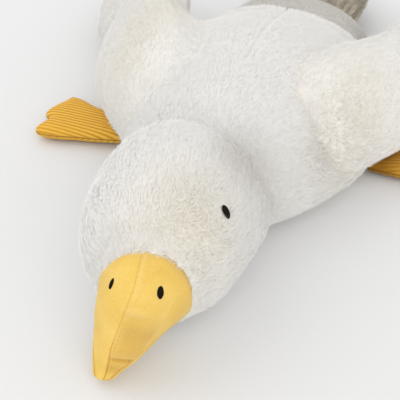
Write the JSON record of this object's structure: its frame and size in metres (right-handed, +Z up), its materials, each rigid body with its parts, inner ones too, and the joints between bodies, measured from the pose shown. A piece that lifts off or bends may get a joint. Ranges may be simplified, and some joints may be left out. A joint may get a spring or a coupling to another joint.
{
  "type": "plush seagull pillow",
  "caption": "Stuffed plush seagull lying on its belly, with drooping velour beak, spread padded wings, corduroy webbed feet and a flat tail.",
  "frame": {"origin": "on the floor, below the middle of the whole bird's box", "axes": "+Z up, the tail towards +Y and the beak towards -Y, the bird's left wing towards +X"},
  "size_m": [0.3708, 0.534, 0.125],
  "materials": {
    "white_plush": "short curly pile, matt",
    "grey_plush": "short pile, matt",
    "taupe_plush": "streaky short pile, matt",
    "mustard_corduroy": "ribbed corduroy, matt",
    "yellow_velour": "fine velour, matt",
    "dark_thread": "satin stitch embroidery"
  },
  "bodies": {
    "root": {"body": "white_plush", "rump": "grey_plush", "tail": "taupe_plush", "wing_left": "white_plush", "wing_right": "white_plush", "foot_left": "mustard_corduroy", "foot_right": "mustard_corduroy", "beak": "yellow_velour", "nostril_left": "dark_thread", "nostril_right": "dark_thread", "eye_left": "dark_thread", "eye_right": "dark_thread"}
  },
  "joints": []
}
